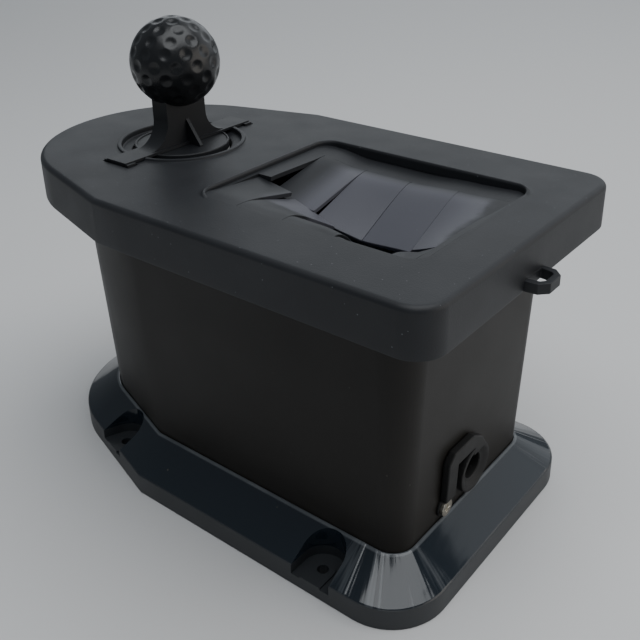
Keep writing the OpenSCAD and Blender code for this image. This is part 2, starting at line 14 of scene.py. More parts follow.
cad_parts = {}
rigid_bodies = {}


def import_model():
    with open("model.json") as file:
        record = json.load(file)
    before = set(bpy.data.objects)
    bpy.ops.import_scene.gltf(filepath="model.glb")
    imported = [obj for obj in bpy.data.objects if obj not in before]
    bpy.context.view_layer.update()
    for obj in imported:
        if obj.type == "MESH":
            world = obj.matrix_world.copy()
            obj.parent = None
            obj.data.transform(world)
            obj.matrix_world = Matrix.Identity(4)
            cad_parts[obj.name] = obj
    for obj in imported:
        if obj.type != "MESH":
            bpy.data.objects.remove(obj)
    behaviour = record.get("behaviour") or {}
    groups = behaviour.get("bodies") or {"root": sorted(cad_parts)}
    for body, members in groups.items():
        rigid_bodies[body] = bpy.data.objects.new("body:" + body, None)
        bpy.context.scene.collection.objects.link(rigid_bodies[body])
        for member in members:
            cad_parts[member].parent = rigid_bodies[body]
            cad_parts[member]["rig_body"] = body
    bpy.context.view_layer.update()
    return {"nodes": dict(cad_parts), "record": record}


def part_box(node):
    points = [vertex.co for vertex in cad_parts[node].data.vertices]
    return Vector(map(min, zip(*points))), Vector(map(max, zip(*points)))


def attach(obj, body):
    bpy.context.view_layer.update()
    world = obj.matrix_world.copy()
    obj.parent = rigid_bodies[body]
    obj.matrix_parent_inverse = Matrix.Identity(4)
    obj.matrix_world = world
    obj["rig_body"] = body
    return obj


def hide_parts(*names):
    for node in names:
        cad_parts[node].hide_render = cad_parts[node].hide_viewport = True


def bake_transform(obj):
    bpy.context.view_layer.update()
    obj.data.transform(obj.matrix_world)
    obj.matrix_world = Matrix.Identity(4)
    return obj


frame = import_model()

MM = 0.001
random.seed(11)

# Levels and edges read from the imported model
cover_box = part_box("top_cover")
knob_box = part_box("ball_knob")
sheet_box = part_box("splash_guard")
RING_RISE = 1.2 * MM
COVER_TOP = cover_box[1].z - RING_RISE
PORT_X = (knob_box[0].x + knob_box[1].x) / 2
KNOB_RISE = 39.8 * MM
KNOB_CENTRE = Vector((PORT_X, 0, COVER_TOP + KNOB_RISE))
KNOB_R = 21.35 * MM
SHEET_TOP = sheet_box[1].z
RIM_H = 10.7 * MM
SLOPE_TOP = 21.5 * MM


# Modelling helpers ------------------------------------------------------------------------


def only(obj):
    """Makes obj the one selected and active object."""
    if bpy.context.object and bpy.context.object.mode != "OBJECT":
        bpy.ops.object.mode_set(mode="OBJECT")
    bpy.ops.object.select_all(action="DESELECT")
    obj.select_set(True)
    bpy.context.view_layer.objects.active = obj
    return obj


def edit(obj):
    """Opens obj in edit mode with nothing selected, and returns its BMesh."""
    only(obj)
    bpy.ops.object.mode_set(mode="EDIT")
    bpy.ops.mesh.select_mode(type="VERT")
    bpy.ops.mesh.select_all(action="DESELECT")
    return bmesh.from_edit_mesh(obj.data)


def done(obj):
    """Leaves edit mode and returns the object."""
    bmesh.update_edit_mesh(obj.data)
    bpy.ops.object.mode_set(mode="OBJECT")
    return obj


def apply_modifier(obj, kind, **settings):
    """Adds a modifier with these settings and applies it."""
    only(obj)
    modifier = obj.modifiers.new(kind.lower(), kind)
    for name, value in settings.items():
        setattr(modifier, name, value)
    bpy.ops.object.modifier_apply(modifier=modifier.name)
    return obj


def soften(obj, angle=35):
    """Smooth shading that keeps edges sharper than angle degrees, with flats that stay flat."""
    only(obj)
    bpy.ops.object.shade_smooth_by_angle(angle=math.radians(angle))
    return apply_modifier(obj, "WEIGHTED_NORMAL", keep_sharp=True, weight=60)


def round_edges(obj, width, segments=2, angle=30):
    """Rolls over every edge sharper than angle degrees."""
    return apply_modifier(
        obj, "BEVEL", width=width, segments=segments, limit_method="ANGLE",
        angle_limit=math.radians(angle), use_clamp_overlap=True,
    )


def recalculate(obj):
    """Merges doubled points and turns every face outwards."""
    edit(obj)
    bpy.ops.mesh.select_all(action="SELECT")
    bpy.ops.mesh.remove_doubles(threshold=1e-6)
    bpy.ops.mesh.normals_make_consistent(inside=False)
    return done(obj)


def cut(obj, tool, operation="DIFFERENCE"):
    """Boolean of obj with tool; the tool is then removed."""
    apply_modifier(obj, "BOOLEAN", operation=operation, object=tool, solver="EXACT")
    bpy.data.objects.remove(tool)
    return obj


def box(name, low, high):
    """A box between two corners, used as a cutter or a blank."""
    bpy.ops.object.select_all(action="DESELECT")
    bpy.ops.mesh.primitive_cube_add(size=1)
    obj = bpy.context.object
    obj.name = name
    low, high = Vector(low), Vector(high)
    obj.data.transform(
        Matrix.Translation((low + high) / 2) @ Matrix.Diagonal((*(high - low), 1))
    )
    return obj


def loft(name, rings, cap_first=False, cap_last=False):
    """A skin through rings of equal count: a circle is laid on the first, then extruded on."""
    bpy.ops.object.select_all(action="DESELECT")
    bpy.ops.mesh.primitive_circle_add(vertices=len(rings[0]), radius=1)
    obj = bpy.context.object
    obj.name = name
    mesh = edit(obj)
    mesh.verts.ensure_lookup_table()
    loop = list(mesh.verts)
    for v, place in zip(loop, rings[0]):
        v.co = place
    for v in mesh.verts:
        v.select = True
    mesh.select_flush(True)
    if cap_first:
        bpy.ops.mesh.edge_face_add()
        mesh = bmesh.from_edit_mesh(obj.data)
        for f in mesh.faces:
            f.select = False
        mesh.verts.ensure_lookup_table()
        loop = list(mesh.verts)[: len(rings[0])]
        for v in loop:
            v.select = True
    for ring in rings[1:]:
        start = {v: i for i, v in enumerate(loop)}
        made = bmesh.ops.extrude_edge_only(
            mesh, edges=[e for e in mesh.edges if e.verts[0] in start and e.verts[1] in start
                         and abs(start[e.verts[0]] - start[e.verts[1]]) in (1, len(loop) - 1)],
        )["geom"]
        new = [v for v in made if isinstance(v, bmesh.types.BMVert)]
        order = [None] * len(loop)
        for v in new:
            for e in v.link_edges:
                other = e.other_vert(v)
                if other in start:
                    order[start[other]] = v
        loop = order
        for v, place in zip(loop, ring):
            v.co = place
    for v in mesh.verts:
        v.select = False
    if cap_last:
        mesh.faces.new(loop)
    done(obj)
    return recalculate(obj)


def coat(obj, material):
    """Gives obj this one material."""
    obj.data.materials.clear()
    obj.data.materials.append(material)


def finish(obj, body, slot, material, *nodes):
    """Gives a piece its body, finish and the model's nodes that it stands for."""
    coat(obj, material)
    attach(obj, body)
    if nodes:
        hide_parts(*nodes)
    return obj


def body_of_node(node):
    """The moving body that a node of the model belongs to."""
    return frame["nodes"][node]["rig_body"]


def eased_copy(node, width, slot, material, segments=2):
    """A copy of a node with its edges rolled over, which then stands for the node."""
    source = frame["nodes"][node]
    obj = source.copy()
    obj.data = source.data.copy()
    for key in list(obj.keys()):
        if key.startswith("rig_"):
            del obj[key]
    obj.parent = None
    obj.name = node + "_finished"
    bpy.context.scene.collection.objects.link(obj)
    edit(obj)
    bpy.ops.mesh.select_all(action="SELECT")
    bpy.ops.mesh.remove_doubles(threshold=2e-6)
    bpy.ops.mesh.customdata_custom_splitnormals_clear()
    bpy.ops.mesh.dissolve_limited(angle_limit=math.radians(0.6))
    done(obj)
    round_edges(obj, width, segments)
    soften(obj)
    return finish(obj, body_of_node(node), slot, material, node)


# Shader helpers ---------------------------------------------------------------------------


class Value:
    """A socket in a material, with Python's operators for shader maths on numbers."""

    def __init__(self, maker, socket):
        self.maker = maker
        self.socket = socket

    def _math(self, operation, a, b):
        return self.maker.node("ShaderNodeMath", {"operation": operation}, [a, b])

    def __add__(self, other):
        return self._math("ADD", self, other)

    __radd__ = __add__

    def __sub__(self, other):
        return self._math("SUBTRACT", self, other)

    def __rsub__(self, other):
        return self._math("SUBTRACT", other, self)

    def __mul__(self, other):
        return self._math("MULTIPLY", self, other)

    __rmul__ = __mul__

    def __truediv__(self, other):
        return self._math("DIVIDE", self, other)

    def __rtruediv__(self, other):
        return self._math("DIVIDE", other, self)

    def __gt__(self, other):
        return self._math("GREATER_THAN", self, other)

    def __lt__(self, other):
        return self._math("LESS_THAN", self, other)


class Finish:
    """One material: a Principled surface on Object coordinates, and what varies over it."""

    def __init__(self, name, colour, roughness, **constants):
        self.material = bpy.data.materials.new(name)
        self.material.use_nodes = True
        self.tree = self.material.node_tree
        self.surface = self.tree.nodes["Principled BSDF"]
        self.surface.inputs["Base Color"].default_value = (*colour, 1)
        self.surface.inputs["Roughness"].default_value = roughness
        for key, value in constants.items():
            self.surface.inputs[key.replace("_", " ")].default_value = value
        self.place = self.node("ShaderNodeTexCoord", {}, [], "Object")

    def node(self, kind, settings=None, inputs=(), out=0):
        """Adds a node; inputs are a list in order or a dict by name, of numbers or Values."""
        made = self.tree.nodes.new(kind)
        for key, value in (settings or {}).items():
            setattr(made, key, value)
        pairs = inputs.items() if isinstance(inputs, dict) else enumerate(inputs)
        for key, value in pairs:
            if isinstance(value, Value):
                self.tree.links.new(value.socket, made.inputs[key])
            else:
                made.inputs[key].default_value = value
        return Value(self, made.outputs[out])

    def feed(self, name, value):
        """Links a Value to one of the surface's inputs."""
        self.tree.links.new(value.socket, self.surface.inputs[name])

    def noise(self, scale, detail=3, rough=0.5, where=None):
        """Noise from 0 to 1, scale in lumps per metre."""
        return self.node(
            "ShaderNodeTexNoise", {},
            {"Vector": where or self.place, "Scale": scale, "Detail": detail,
             "Roughness": rough},
        )

    def mix(self, share, a, b):
        """Colour a turning into colour b by share."""
        return self.node(
            "ShaderNodeMix", {"data_type": "RGBA"},
            {0: share, 6: a if isinstance(a, Value) else (*a, 1),
             7: b if isinstance(b, Value) else (*b, 1)}, 2,
        )

    def stretched(self, x, y, z):
        """Object coordinates scaled along each axis."""
        return self.node(
            "ShaderNodeMapping", {}, {"Vector": self.place, "Scale": (x, y, z)}
        )

    def axis(self, name):
        """One of the Object coordinates."""
        return self.node("ShaderNodeSeparateXYZ", {}, [self.place], name)

    def spread(self, value, low, high):
        """A number taken smoothly from 0 at low to 1 at high."""
        return self.node("ShaderNodeMapRange", {"interpolation_type": "SMOOTHSTEP"}, {
            "Value": value, "From Min": low, "From Max": high, "To Min": 0.0, "To Max": 1.0,
        })

    def relief(self, height, depth, strength=1.0):
        """Bump of height, depth in metres."""
        self.feed("Normal", self.node(
            "ShaderNodeBump", {}, {"Height": height, "Strength": strength, "Distance": depth}
        ))

    def specks(self, per_metre, size, keep):
        """Scattered grains: 1 in a grain and 0 elsewhere; keep is the share of cells used."""
        cell = self.node(
            "ShaderNodeTexVoronoi", {}, {"Vector": self.place, "Scale": per_metre}, "Distance"
        )
        chance = self.node(
            "ShaderNodeTexVoronoi", {}, {"Vector": self.place, "Scale": per_metre}, "Color"
        )
        pick = self.node("ShaderNodeSeparateColor", {}, [chance], "Red")
        return (cell < size) * (pick < keep)


def dusty(f, dark, dust, amount, patches=14, grains=(420, 0.10, 0.35), shine=0.5):
    """Base colour with soft dust in patches and scattered light grains."""
    cloud = f.spread(f.noise(patches, 5, 0.6), 0.46, 0.74)
    film = cloud * f.noise(2600, 2, 0.6) * amount
    share = film + f.specks(*grains) * shine
    f.feed("Base Color", f.mix(share, dark, dust))
    return share


def cover_plastic():
    dark = (0.0142, 0.0154, 0.0180)
    f = Finish("cover_plastic", dark, 0.5, Specular_IOR_Level=0.32)
    share = dusty(f, dark, (0.22, 0.23, 0.25), 0.05, grains=(560, 0.15, 0.07), shine=0.4)
    f.feed("Roughness", f.noise(60, 4) * 0.12 + 0.43 + share * 0.2)
    f.relief(f.noise(1500, 3, 0.6) + f.noise(30, 2) * 0.6, 0.00006)
    return f.material


def tank_plastic(name="tank_plastic"):
    dark = (0.0132, 0.0119, 0.0103)
    f = Finish(name, dark, 0.45, Specular_IOR_Level=0.22)
    share = dusty(f, dark, (0.2, 0.19, 0.18), 0.02, grains=(300, 0.10, 0.02), shine=0.2)
    f.feed("Roughness", f.noise(40, 4) * 0.12 + 0.40 + share * 0.2)
    flow = f.noise(1, 4, 0.5, f.stretched(26, 26, 9))
    f.relief(f.noise(1300, 3, 0.6) * 0.6 + flow * 2.0, 0.00008)
    return f.material


def gloss_abs():
    """Polished slope, streaked round its corners, over a scuffed matt rim, with painted reflection
    streaks at the corners and a painted highlight along the crest.
    """
    dark = (0.0085, 0.0135, 0.0195)
    f = Finish("gloss_abs", dark, 0.1, Specular_IOR_Level=0.52)
    x, y, z = f.axis("X"), f.axis("Y"), f.axis("Z")
    side = f.node("ShaderNodeMath", {"operation": "ABSOLUTE"}, [y])
    turn = f.node("ShaderNodeMath", {"operation": "ARCTAN2"}, [side - 0.034, x - 0.083])
    fan = f.node("ShaderNodeCombineXYZ", {}, [turn, 0.0, z * 2.0])
    streak = f.noise(8, 2, 0.45, fan)
    slope = f.spread(z, RIM_H - 0.3 * MM, RIM_H + 0.3 * MM)
    corner = f.spread(x, 0.070, 0.096) * f.spread(side, 0.040, 0.054) * slope
    # Painted reflection: thin bright lines picked out of the corner streaks, mixed into the base
    # colour below
    streak_highlight = f.spread(streak, 0.52, 0.60) * f.spread(0.0 - streak, -0.66, -0.60)
    ripple = f.noise(1, 2, 0.4, f.stretched(120, 34, 60))
    f.feed("Roughness", 0.07 + corner * streak * 0.12 + (1 - slope) * 0.42)
    share = f.specks(300, 0.10, 0.03) * 0.3 + (1 - slope) * 0.035
    # Painted highlight: a bright line along the slope's crest by the tank; with the painted streaks
    # it lightens the base colour
    crest_highlight = f.spread(z, SLOPE_TOP - 0.75 * MM, SLOPE_TOP - 0.35 * MM) * (0.3 + f.noise(70, 3))
    painted_highlights = f.mix(corner * streak_highlight * 0.5 + crest_highlight * 0.75, dark, (0.13, 0.14, 0.15))
    f.feed("Base Color", f.mix(share, painted_highlights, (0.34, 0.28, 0.21)))
    swell = slope * f.spread(x, 0.06, 0.11) * ripple * 1.6
    height = corner * streak * 9.0 + swell + slope * ripple * 0.8 + f.noise(900, 2) * 0.03
    f.relief(height, 0.00005)
    return f.material


def knob_plastic():
    dark = (0.0085, 0.0092, 0.0105)
    f = Finish("knob_plastic", dark, 0.36, Specular_IOR_Level=0.42)
    dusty(f, dark, (0.2, 0.21, 0.22), 0.03, grains=(500, 0.11, 0.03), shine=0.25)
    f.feed("Roughness", f.noise(120, 4) * 0.10 + 0.24)
    f.relief(f.noise(1800, 3) + f.noise(160, 2) * 0.5, 0.00003)
    return f.material


def handle_plastic():
    dark = (0.0105, 0.0115, 0.0135)
    f = Finish("handle_plastic", dark, 0.46, Specular_IOR_Level=0.34)
    dusty(f, dark, (0.2, 0.21, 0.22), 0.03, grains=(500, 0.11, 0.03), shine=0.25)
    f.feed("Roughness", f.noise(120, 4) * 0.12 + 0.40)
    f.relief(f.noise(1800, 3) + f.noise(160, 2) * 0.5, 0.00004)
    return f.material


def flap_rubber():
    """Rubber coloured like the cover round its rim, with dust there; the far middle flaps are painted
    lighter and bluer as a painted sheen where the light falls on them.
    """
    dark = (0.0142, 0.0154, 0.0180)
    f = Finish("flap_rubber", dark, 0.42, Specular_IOR_Level=0.34)
    x, y = f.axis("X"), f.axis("Y")
    cloud = f.noise(60, 4, 0.6) * 0.02
    club_side = f.spread(x + cloud, 0.096, 0.108)
    near_side = 1 - f.spread(y + cloud, -0.024, -0.012)
    rim = f.spread(club_side + near_side, 0.0, 1.0)
    # Painted sheen: the far middle flaps, away from the rim, are marked out here and painted lighter
    # and bluer below for the light falling on them; they are also made a little glossier
    middle = (1 - rim) * f.spread(x, 0.008, 0.022) * f.spread(0.030 - y, 0.0, 0.008)
    dust = rim * f.spread(f.noise(26, 4, 0.6), 0.40, 0.70) * f.noise(1800, 3, 0.7) * 0.08
    share = dusty(f, dark, (0.22, 0.23, 0.25), 0.03, 26, (560, 0.13, 0.05), 0.28)
    # Painted sheen colour for the lit far middle flaps
    painted_sheen_colour = f.mix(middle, dark, (0.078, 0.079, 0.094))
    f.feed("Base Color", f.mix(share + dust, painted_sheen_colour, (0.22, 0.23, 0.25)))
    f.feed("Roughness", f.noise(80, 4) * 0.10 + 0.44 - middle * 0.10 + (dust + share) * 0.5)
    wave = f.noise(1, 3, 0.5, f.stretched(70, 30, 30))
    f.relief(f.noise(1600, 2) * 0.5 + wave * 1.2, 0.00008)
    return f.material


def plug_rubber():
    dark = (0.011, 0.0108, 0.0108)
    f = Finish("plug_rubber", dark, 0.55, Specular_IOR_Level=0.3)
    dusty(f, dark, (0.2, 0.2, 0.2), 0.03, shine=0.2)
    f.feed("Roughness", f.noise(140, 4) * 0.2 + 0.45)
    f.relief(f.noise(1500, 3), 0.00006)
    return f.material


def steel(name, colour, rough):
    f = Finish(name, colour, rough, Metallic=1.0)
    lay = f.noise(1, 4, 0.6, f.stretched(300, 5200, 300))
    f.feed("Roughness", lay * 0.22 + rough)
    tint = f.noise(350, 3)
    f.feed("Base Color", f.mix(tint, tuple(0.82 * c for c in colour), colour))
    f.relief(lay, 0.00003)
    return f.material


def white_plastic():
    f = Finish("white_plastic", (0.66, 0.67, 0.66), 0.42)
    stain = f.noise(45, 4)
    f.feed("Base Color", f.mix(stain, (0.72, 0.73, 0.72), (0.56, 0.56, 0.53)))
    f.feed("Roughness", f.noise(90, 3) * 0.15 + 0.35)
    f.relief(f.noise(700, 3), 0.00004)
    return f.material


def bristle_nylon():
    f = Finish("blue_bristle", (0.05, 0.14, 0.36), 0.4)
    f.feed("Base Color", f.mix(f.noise(240, 3), (0.03, 0.10, 0.30), (0.10, 0.24, 0.50)))
    f.feed("Roughness", f.noise(900, 2) * 0.2 + 0.32)
    strand = f.noise(1, 2, 0.5, f.stretched(3800, 260, 3800))
    f.relief(strand, 0.0002)
    return f.material


FINISHES = {
    "cover_plastic": cover_plastic(),
    "tank_plastic": tank_plastic(),
    "gloss_abs": gloss_abs(),
    "knob_plastic": knob_plastic(),
    "flap_rubber": flap_rubber(),
    "plug_rubber": plug_rubber(),
    "stainless_screw": steel("stainless_screw", (0.60, 0.56, 0.48), 0.22),
    "zinc_screw": steel("zinc_screw", (0.52, 0.53, 0.55), 0.3),
    "white_plastic": white_plastic(),
    "blue_bristle": bristle_nylon(),
    "inner_black_plastic": tank_plastic("inner_black_plastic"),
}
HANDLE = handle_plastic()
SLOTS = {s["node"]: s["material_slot"] for s in frame["record"]["subparts"]}
for node, obj in frame["nodes"].items():
    coat(obj, FINISHES[SLOTS[node]])


def eased(node, width, **options):
    """The node's eased copy, in its own finish."""
    slot = SLOTS[node]
    return eased_copy(node, width, slot, FINISHES[slot], **options)


# Cover ------------------------------------------------------------------------------------

# Flat end, half width, corner radius, kink, nose centre and nose radius, as in the model
COVER_PLAN = [v * MM for v in (126.3, 76.5, 13, -40.5, -69.2, 66.1)]
WINDOW = [v * MM for v in (-8.3, 103.3, -46, 41.8)]


def plan_ring(plan, inward, z, corner_steps=14, nose_steps=90):
    """The outline moved inwards and laid at height z, always with the same number of points."""
    end, half, corner, kink, nose_x, nose_r = plan
    turn = math.atan2(half, kink - nose_x) + math.acos(
        nose_r / math.hypot(kink - nose_x, half)
    )
    radius = nose_r - inward
    y = half - inward
    kink_in = nose_x + (radius - y * math.sin(turn)) / math.cos(turn)
    r = max(corner - inward, 0.5 * MM)
    flat = end - inward
    points = []
    for i in range(corner_steps + 1):
        a = math.pi / 2 * i / corner_steps
        points.append((flat - r + r * math.cos(a), y - r + r * math.sin(a)))
    for i in range(1, 9):
        points.append((flat - r + (kink_in - flat + r) * i / 9, y))
    points.append((kink_in, y))
    for i in range(nose_steps + 1):
        a = turn + (2 * math.pi - 2 * turn) * i / nose_steps
        points.append((nose_x + radius * math.cos(a), radius * math.sin(a)))
    points.append((kink_in, -y))
    for i in range(8, 0, -1):
        points.append((flat - r + (kink_in - flat + r) * i / 9, -y))
    for i in range(corner_steps, -1, -1):
        a = math.pi / 2 * i / corner_steps
        points.append((flat - r + r * math.cos(a), -y + r - r * math.sin(a)))
    return [Vector((x, y2, z)) for x, y2 in points]


def smooth(share):
    share = min(max(share, 0.0), 1.0)
    return share * share * (3 - 2 * share)


def bead_share(x, y):
    """The window's bead: full on the ball side and the far side, gone on the other two."""
    far_part = smooth((y - WINDOW[3] + 9 * MM) / (7 * MM))
    left_part = smooth((WINDOW[0] + 6 * MM - x) / (5 * MM))
    return max(far_part, left_part)


def window_ring(edges, outward, base, lift, radius=8 * MM, steps=12):
    """Rounded rectangle moved outwards, raised over its base by lift where the bead is."""
    left, right, near, far = edges
    r = radius + outward
    corners = [(right - radius, far - radius, 0), (left + radius, far - radius, 1),
               (left + radius, near + radius, 2), (right - radius, near + radius, 3)]
    points = []
    for cx, cy, quarter in corners:
        for i in range(steps + 1):
            a = math.pi / 2 * (quarter + i / steps)
            x, y = cx + r * math.cos(a), cy + r * math.sin(a)
            points.append(Vector((x, y, base + lift * bead_share(x, y))))
    return points


def circle_ring(cx, cy, radius, z, count=96):
    return [Vector((cx + radius * math.cos(2 * math.pi * i / count),
                    cy + radius * math.sin(2 * math.pi * i / count), z))
            for i in range(count)]


def fill_between(obj, z):
    """Fills the flat region bounded by the open rims that lie at height z."""
    edit(obj)
    bpy.ops.mesh.select_mode(type="EDGE")
    mesh = bmesh.from_edit_mesh(obj.data)
    for e in mesh.edges:
        e.select = e.is_boundary and all(abs(v.co.z - z) < 1e-7 for v in e.verts)
    bpy.ops.mesh.fill(use_beauty=True)
    return done(obj)


def joined(first, *others):
    """Joins the other objects into the first."""
    only(first)
    for o in others:
        o.select_set(True)
    bpy.ops.object.join()
    return first


def towel_loop():
    """The eyelet under the club end: a chamfered U with a clip hole through it."""
    top = cover_box[0].z + 4.8 * MM
    bottom = cover_box[0].z + 0.2 * MM
    tip = cover_box[1].x
    root = COVER_PLAN[0]
    outer = [(root - 0.6 * MM, -8.4), (tip - 3.6 * MM, -8), (tip, -4.4), (tip, 4.4),
             (tip - 3.6 * MM, 8), (root - 0.6 * MM, 8.4)]
    ring = [Vector((x, y * MM, bottom)) for x, y in outer]
    high = [Vector((p.x, p.y, top)) for p in ring]
    body = loft("towel_loop", [ring, high], cap_first=True, cap_last=True)
    inner = [(root + 0.1 * MM, -5.6), (tip - 4.2 * MM, -5), (tip - 2.8 * MM, -3.4),
             (tip - 2.8 * MM, 3.4), (tip - 4.2 * MM, 5), (root + 0.1 * MM, 5.6)]
    low = [Vector((x, y * MM, bottom - MM)) for x, y in inner]
    up = [Vector((p.x, p.y, top + MM)) for p in low]
    cut(body, loft("eye", [low, up], cap_first=True, cap_last=True))
    return round_edges(body, 0.7 * MM, 3)


def top_cover():
    """Cover with a rolled top edge, beaded window and ringed port, as one closed shell."""
    top, under = COVER_TOP, COVER_TOP - 3 * MM
    skirt = cover_box[0].z
    edge = 2.5 * MM
    pad = SHEET_TOP
    rings = [(3 * MM, under), (3 * MM, skirt + 0.4 * MM), (2.6 * MM, skirt),
             (0.6 * MM, skirt), (0.15 * MM, skirt + 0.2 * MM), (0, skirt + 0.7 * MM),
             (0, skirt + 3 * MM), (0, top - edge - 3 * MM)]
    for i in range(9):
        a = math.pi / 2 * i / 8
        rings.append((edge * (1 - math.cos(a)), top - edge + edge * math.sin(a)))
    rings.append((edge + 1.2 * MM, top))
    shell = loft("cover_shell", [plan_ring(COVER_PLAN, w, z) for w, z in rings])

    bead = [(3.6, 0), (2.3, 0), (2.0, 0.14), (1.7, 0.55), (1.35, 0.95), (0.9, 1.1), (0.45, 0.95),
            (0.15, 0.55), (0, 0.05)]
    window = [window_ring(WINDOW, w * MM, top, z * MM) for w, z in bead]
    window += [window_ring(WINDOW, w * MM, top - z * MM, 0)
               for w, z in ((0, 0.3), (0, 3.8), (0.2, 4.0), (6, 4.0), (6.2, 3.0))]
    window = loft("window", window)

    port = [(33, 0), (31.8, 0), (31.45, 0.15), (31.3, 0.6), (31.2, 1.0), (30.8, 1.2),
            (29.9, 1.2), (29.5, 1.0), (29.3, 0.5), (29.1, -1.0), (28.6, -1.5), (25.2, -1.9),
            (24.6, -2.2), (24.4, -2.8), (24.4, -13.6), (24.8, -14), (26.6, -14), (27, -13.6),
            (27, -3)]
    port = loft("port", [circle_ring(PORT_X, 0, r * MM, top + z * MM) for r, z in port])

    cover = joined(shell, window, port)
    fill_between(cover, top)
    fill_between(cover, under)
    recalculate(cover)

    # Slot across the ring for the lifter's wings, and the notched seats of their tips
    reach = 41.5 * MM
    cut(cover, box("slot", (PORT_X - 7 * MM, -reach, top - 0.3 * MM),
                   (PORT_X + 7 * MM, reach, top + 5 * MM)))
    for side in (-1, 1):
        ends = sorted((side * (reach - 5.3 * MM), side * (reach + 0.8 * MM)))
        cut(cover, box("seat", (PORT_X - 9 * MM, ends[0], top - 0.9 * MM),
                       (PORT_X + 9 * MM, ends[1], top + 5 * MM)))
    cut(cover, towel_loop(), "UNION")
    cover.name = "cover_moulding"
    soften(cover, 32)
    return finish(cover, "cover", "cover_plastic", FINISHES["cover_plastic"], "top_cover")


# Rubber sheet and its flaps ---------------------------------------------------------------

# How far each flap's two free corners hang, in degrees (left, right), its length in mm, and
# how much of it stays level at the root
FLAP_HANG = {
    "near_flap_1": (4.5, 10.5, 36.0, 4), "near_flap_2": (16, 28, 38.0, 4),
    "near_flap_3": (36, 46, 36.5, 3), "near_flap_4": (48, 46, 36.5, 0.8),
    "near_flap_5": (22, 8, 36.0, 3),
    "far_flap_1": (9.5, 11, 39.5, 1), "far_flap_2": (16, 23, 40.6, 1),
    "far_flap_3": (22.5, 22, 40.8, 1), "far_flap_4": (21.5, 6, 39.7, 1),
}
NEAR_SLITS = [v * MM for v in (-6.15, 13.65, 38.45, 63.25, 88.05, 100.45)]
FAR_SLITS = [v * MM for v in (1.25, 26.05, 50.85, 75.65, 100.45)]
NEAR_ROOT = -45.4 * MM
# The model's near hinge lies inside the root, so the bend is blended across that strip
FAR_ROOT = 28.5 * MM
MEET = -10.05 * MM
SHEET_T = 2 * MM
SLIT = 0.3 * MM
# Depth of the sheet's sag along the far side, in mm, by millimetres from the window's left
SAG = [(-8.3, 0.1), (1.2, 0.8), (20, 3.0), (50, 3.2), (76, 2.0), (103.3, 1.0)]


def sag_at(x):
    x = x / MM
    for (x0, d0), (x1, d1) in zip(SAG, SAG[1:]):
        if x <= x1:
            return d0 + (d1 - d0) * smooth((x - x0) / (x1 - x0))
    return SAG[-1][1]


def sheet_level(x, y):
    """Height of the rubber's face: flush along the near and club sides, sunk on the far side."""
    flush = smooth((y + 46 * MM) / (14 * MM)) * smooth((103.3 * MM - x) / (9 * MM))
    far = smooth((y + 12 * MM) / (38 * MM))
    dip = smooth((x - 52 * MM) / (22 * MM)) * smooth((100 * MM - x) / (9 * MM)) * (1 - far)
    return COVER_TOP - (0.08 + 1.0 * max(flush, far) + sag_at(x) * far + 2.4 * dip) * MM


def lines_through(marks, step):
    """Values through every mark, with even steps between them."""
    values = [marks[0]]
    for a, b in zip(marks, marks[1:]):
        count = max(1, round((b - a) / step))
        values += [a + (b - a) * i / count for i in range(1, count + 1)]
    return values


def rubber_sheet():
    """The slit sheet's margin: clamped flat outside the window, then level with the cover."""
    low, high = sheet_box
    left, right, near, far = WINDOW
    inner_x = [left + 0.15 * MM] + sorted(set(NEAR_SLITS + FAR_SLITS)) + [right - 0.15 * MM]
    inner_y = [near + 0.15 * MM, NEAR_ROOT, MEET, FAR_ROOT, far - 0.15 * MM]
    xs = [low.x, left - 0.35 * MM] + lines_through(inner_x, 3.2 * MM) + [right + 0.35 * MM, high.x]
    ys = [low.y, near - 0.35 * MM] + lines_through(inner_y, 3.2 * MM) + [far + 0.35 * MM, high.y]
    bpy.ops.object.select_all(action="DESELECT")
    bpy.ops.mesh.primitive_grid_add(
        x_subdivisions=len(xs) - 1, y_subdivisions=len(ys) - 1, size=2
    )
    obj = bpy.context.object
    obj.name = "rubber_sheet_margin"
    for v in obj.data.vertices:
        i = round((v.co.x + 1) / 2 * (len(xs) - 1))
        j = round((v.co.y + 1) / 2 * (len(ys) - 1))
        rim = i < 2 or j < 2 or i > len(xs) - 3 or j > len(ys) - 3
        level = SHEET_TOP if rim else sheet_level(xs[i], ys[j])
        v.co = (xs[i], ys[j], level)
    mesh = edit(obj)
    bpy.ops.mesh.select_mode(type="FACE")
    for f in mesh.faces:
        c = f.calc_center_median()
        in_near = NEAR_SLITS[0] < c.x < NEAR_SLITS[-1] and NEAR_ROOT < c.y < MEET
        in_far = FAR_SLITS[0] < c.x < FAR_SLITS[-1] and MEET < c.y < FAR_ROOT
        f.select_set(in_near or in_far)
    bpy.ops.mesh.delete(type="FACE")
    bpy.ops.mesh.select_all(action="SELECT")
    bpy.ops.mesh.extrude_region_move(TRANSFORM_OT_translate={"value": (0, 0, -SHEET_T)})
    done(obj)
    recalculate(obj)
    soften(obj, 50)
    return finish(obj, "cover", "flap_rubber", FINISHES["flap_rubber"], "splash_guard")


